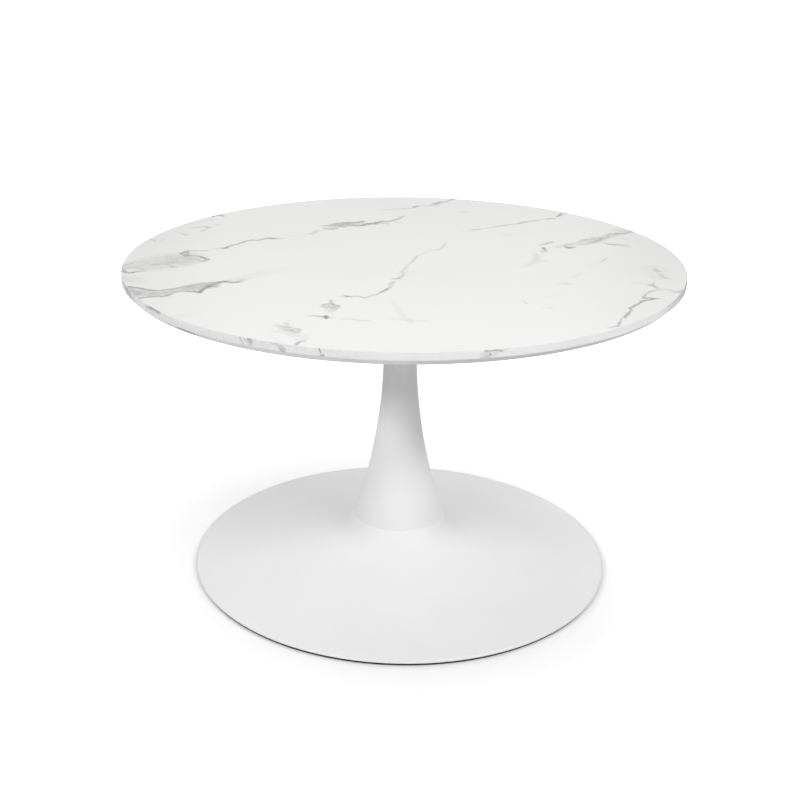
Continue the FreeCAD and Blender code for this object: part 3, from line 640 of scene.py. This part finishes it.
def makeCoat(name, look):
    material, tree, shader = newMaterial(name)
    place = objectPlace(tree)
    inputs = {"Position": place, "Grain Scale": look["grain"], "Tone Scale": look["tone"]}
    grain = placeGroup(tree, coatGrain, inputs)
    colour = mixColour(tree, grain["Tone"], *look["tones"])
    # on the bevel: a dark streak, and painted shade along its right side
    if "streakAndShade" in look:
        streakAndShade = drawRimMarksAndShade(tree, place, look["streakAndShade"])
        colour = mixColour(tree, streakAndShade, colour, look["streakAndShade"]["grey"])
    tree.links.new(colour, shader.inputs["Base Color"])
    tree.links.new(spread(tree, grain["Height"], *look["rough"]), shader.inputs["Roughness"])
    addRelief(tree, shader, grain["Height"], coatBump, look["relief"])
    return material


# Bright zinc of the fasteners: two greys, noise scales of spangle and tone, and roughness
zincLook = {"dull": (0.50, 0.51, 0.52, 1), "bright": (0.66, 0.67, 0.68, 1),
            "spangle": 260.0, "tone": 90.0, "rough": (0.24, 0.4)}


def makeZinc(look):
    material, tree, shader = newMaterial("brightZinc", Metallic=1.0)
    place = objectPlace(tree)
    spangle = addNode(tree, "TexVoronoi", {"Vector": place, "Scale": look["spangle"]}).outputs["Color"]
    tone = noise(tree, place, look["tone"], detail=3.0, roughness=0.6)
    tree.links.new(mixColour(tree, tone, look["dull"], look["bright"]), shader.inputs["Base Color"])
    tree.links.new(remap(tree, spangle, 0.0, 1.0, *look["rough"]), shader.inputs["Roughness"])
    return material


finishes = {"marbleFace": makeMarbleFace(marbleFace), "marbleEdge": makeMarbleEdge(marbleEdge)}
for name, look in coats.items():
    finishes[name] = makeCoat(name, look)
finishes["brightZinc"] = makeZinc(zincLook)
print("finishes made:", len(finishes))

# Printed sheet on the face of the top: rings in mm, and a map that keeps the face as large as it goes
sheetLook = {
    "rings": (60.0, 140.0, 220.0, 300.0, 360.0),
    "steps": 192,
    "mapCentre": (0.5, 0.5),
    "faceMap": 0.485,                 # radius of the face on the map
    "edgeMap": (0.49, 0.496),         # radii of the edge's upper and lower rim
    "backMap": 0.07,
    "backCentre": (0.08, 0.08),
    "levelFrom": 0.5,                 # rise of the normal from which a side counts as level
}


def mapSheet(bm, look, radius):
    layer = bm.loops.layers.uv.new("OFBake")
    centre, backCentre = Vector(look["mapCentre"]), Vector(look["backCentre"])
    for face in bm.faces:
        for loop in face.loops:
            spot = loop.vert.co.xy / (radius * mm)
            if face.normal.z > look["levelFrom"]:
                loop[layer].uv = spot * look["faceMap"] + centre
            elif face.normal.z < -look["levelFrom"]:
                loop[layer].uv = spot * look["backMap"] + backCentre
            else:
                lower = loop.vert.co.z < face.calc_center_median().z
                loop[layer].uv = spot * look["edgeMap"][lower] + centre


def makeSheet(look):
    low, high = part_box("marble_laminate")
    radius, bottom, top = high.x / mm, low.z / mm, high.z / mm
    bm, vert = startProfile(0, top)
    for ring in look["rings"] + (radius,):
        vert = lineTo(bm, vert, ring, top)
    vert = lineTo(bm, vert, radius, bottom)
    for ring in look["rings"][::-1] + (0,):
        vert = lineTo(bm, vert, ring, bottom)
    turnProfile(bm, look["steps"])
    mapSheet(bm, look, radius)
    finishPiece("marbleSheet", bm, finishes["marbleFace"], "marble_laminate")


# Printed strip round the edge, eased where it meets the face; sizes in mm
stripLook = {"thickness": 1.0, "height": bandHeight, "easing": 0.6, "easingSteps": 5, "steps": 288}


def makeStrip(look):
    low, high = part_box("edge_band")
    radius, top = high.x / mm, high.z / mm
    inner, ease, foot = radius - look["thickness"], look["easing"], top - look["height"]
    bm, vert = startProfile(inner, low.z / mm)
    vert = lineTo(bm, vert, radius, foot)
    vert = lineTo(bm, vert, radius, top - ease)
    vert = arcTo(bm, vert, radius - ease, top - ease, degrees=-90, steps=look["easingSteps"])
    vert = lineTo(bm, vert, inner, top)
    closeProfile(bm, vert)
    turnProfile(bm, look["steps"])
    finishPiece("edgeStrip", bm, finishes["marbleEdge"], "edge_band")


makeSheet(sheetLook)
makeStrip(stripLook)
print("top made")

# CAD pieces whose shape is right take a finish of their own
cadFinishes = {
    "bevelPaintAndShade": ("tabletop_core",),
    "backingPaper": ("backing_sheet",),
    "whiteCoat": ("top_plate", "neck_spigot", "post_shell", "base_cover"),
    "blackCoat": ("crown_plate", "hub_tube", "bottom_plate"),
    "blackRubber": ("floor_ring",),
    "brightZinc": ("threaded_inserts", "plate_screws", "plate_washers", "anchor_nut", "centring_disc",
                   "tie_rod", "rod_nut", "rod_lock_washer", "rod_washer"),
}
for finish, pieces in cadFinishes.items():
    for piece in pieces:
        nodes[piece].data.materials[0] = finishes[finish]
print("CAD pieces finished:", sum(len(pieces) for pieces in cadFinishes.values()))

# Stage: a pale floor with a painted glow, seen only by the camera, that brightens away from the table, and
# a white surround.
# The floor is clear from below and casts no shadow, so that the underside of the foot shows and the lamp
# below reaches it
stageLook = {"floorSide": 30.0, "floorTone": 0.8, "white": (1, 1, 1, 1), "glowCentre": (0, -0.06, 0),
             "glowNear": 0.15, "glowFar": 1.2, "nearRadius": 0.26, "farRadius": 1.2}


def makeFloor(look):
    bm = bmesh.new()
    bmesh.ops.create_grid(bm, x_segments=1, y_segments=1, size=look["floorSide"] / 2)
    mesh = bpy.data.meshes.new("floor")
    bm.to_mesh(mesh)
    bm.free()
    floor = bpy.data.objects.new("floor", mesh)
    scene.collection.objects.link(floor)
    tone = look["floorTone"]
    material, tree, shader = newMaterial(
        "paleFloor", Roughness=1.0, Base_Color=(tone, tone, tone, 1), Specular_IOR_Level=0.0,
        Emission_Color=look["white"])
    # painted glow: emission seen only by the camera, weak near the table so that the floor there shows
    # shade
    away = vector(tree, "DISTANCE", objectPlace(tree), look["glowCentre"], "Value")
    glow = remap(tree, away, look["nearRadius"], look["farRadius"], look["glowNear"], look["glowFar"])
    ray = addNode(tree, "LightPath").outputs
    tree.links.new(calc(tree, "MULTIPLY", ray["Is Camera Ray"], glow), shader.inputs["Emission Strength"])
    clear = addNode(tree, "BsdfTransparent").outputs[0]
    below = addNode(tree, "NewGeometry").outputs["Backfacing"]
    through = calc(tree, "MAXIMUM", below, ray["Is Shadow Ray"])
    split = addNode(tree, "MixShader", {0: through, 1: shader.outputs[0], 2: clear})
    tree.links.new(split.outputs[0], tree.nodes["Material Output"].inputs["Surface"])
    mesh.materials.append(material)


def makeSurround(look):
    world = bpy.data.worlds.new("surround")
    scene.world = world
    world.use_nodes = True
    tree = world.node_tree
    background = tree.nodes["Background"]
    background.inputs["Color"].default_value = look["white"]
    seen = addNode(tree, "LightPath").outputs["Is Camera Ray"]
    tree.links.new(seen, background.inputs["Strength"])


# Soft lamps on a dome round the table, and a small one below it: degrees from the front and above the
# floor, metres, watts
dome = {"aim": (0, 0, 0.22), "distance": 3.2}
lamps = {
    "keyLeft": {"turn": -32, "rise": 30, "size": (1.7, 0.42), "power": 29.5},
    "keyRight": {"turn": 32, "rise": 38, "size": (1.7, 0.42), "power": 22.9},
    "keyRightLow": {"turn": 32, "rise": 30, "size": (1.7, 0.42), "power": 5.4},
    "sideLeft": {"turn": -64, "rise": 30, "size": (1.7, 0.42), "power": 16.9},
    "sideRight": {"turn": 64, "rise": 38, "size": (1.7, 0.42), "power": 17.5},
    "sideRightLow": {"turn": 64, "rise": 30, "size": (1.7, 0.42), "power": 7.7},
    "backLeft": {"turn": -135, "rise": 33, "size": (1.7, 1.3), "power": 20.7},
    "backRight": {"turn": 135, "rise": 33, "size": (1.7, 1.3), "power": 16.4},
    "back": {"turn": 180, "rise": 33, "size": (1.7, 1.3), "power": 5.4},
    "backLow": {"turn": 180, "rise": 8, "size": (1.7, 1.3), "power": 4.4},
    "highLeft": {"turn": -90, "rise": 60, "size": (1.9, 1.3), "power": 10.8},
    "highRight": {"turn": 90, "rise": 60, "size": (1.9, 1.3), "power": 4.3},
    "overhead": {"turn": 0, "rise": 90, "size": (2.4, 2.4), "power": 19.5},
    "underFoot": {"turn": 0, "rise": -90, "size": (0.3, 0.3), "power": 1.6, "distance": 0.55},
}


def makeLamp(name, look):
    lamp = bpy.data.lights.new(name, "AREA")
    lamp.shape = "RECTANGLE"
    lamp.size, lamp.size_y = look["size"]
    lamp.energy = look["power"]
    turn, rise = math.radians(look["turn"]), math.radians(look["rise"])
    outward = Vector((math.sin(turn) * math.cos(rise), -math.cos(turn) * math.cos(rise), math.sin(rise)))
    holder = bpy.data.objects.new(name, lamp)
    holder.location = Vector(dome["aim"]) + outward * look.get("distance", dome["distance"])
    holder.rotation_euler = (-outward).to_track_quat("-Z", "Y").to_euler()
    holder.visible_camera = False
    scene.collection.objects.link(holder)


makeFloor(stageLook)
makeSurround(stageLook)
for name, look in lamps.items():
    makeLamp(name, look)
scene.view_settings.view_transform = "Standard"
print("stage made:", len(lamps), "lamps")

# Camera: metres and radians; lens and lens axis in pixels of the 800 x 800 picture
viewLook = {"place": (0, -1.85264, 0.99269), "pitch": 0.3125, "yaw": -0.0514, "roll": -0.0041,
            "lensPixels": 1331.45, "axisPixel": (335.64, 312.40), "pictureSide": 800, "sensor": 36.0}


def makeCamera(look):
    data = bpy.data.cameras.new("photoView")
    camera = bpy.data.objects.new("photoView", data)
    pitch, yaw, roll, side = look["pitch"], look["yaw"], look["roll"], look["pictureSide"]
    ahead = Vector((math.sin(yaw) * math.cos(pitch), math.cos(yaw) * math.cos(pitch), -math.sin(pitch)))
    level = Vector((math.cos(yaw), -math.sin(yaw), 0))
    upright = level.cross(ahead)
    right = level * math.cos(roll) + upright * math.sin(roll)
    up = upright * math.cos(roll) - level * math.sin(roll)
    turn = Matrix((right, up, -ahead)).transposed().to_4x4()
    camera.matrix_world = Matrix.Translation(look["place"]) @ turn
    data.sensor_width = look["sensor"]
    data.lens = look["lensPixels"] * look["sensor"] / side
    axisX, axisY = look["axisPixel"]
    data.shift_x = (side / 2 - axisX) / side
    data.shift_y = (axisY - side / 2) / side
    scene.collection.objects.link(camera)
    scene.camera = camera


makeCamera(viewLook)
print("camera set")
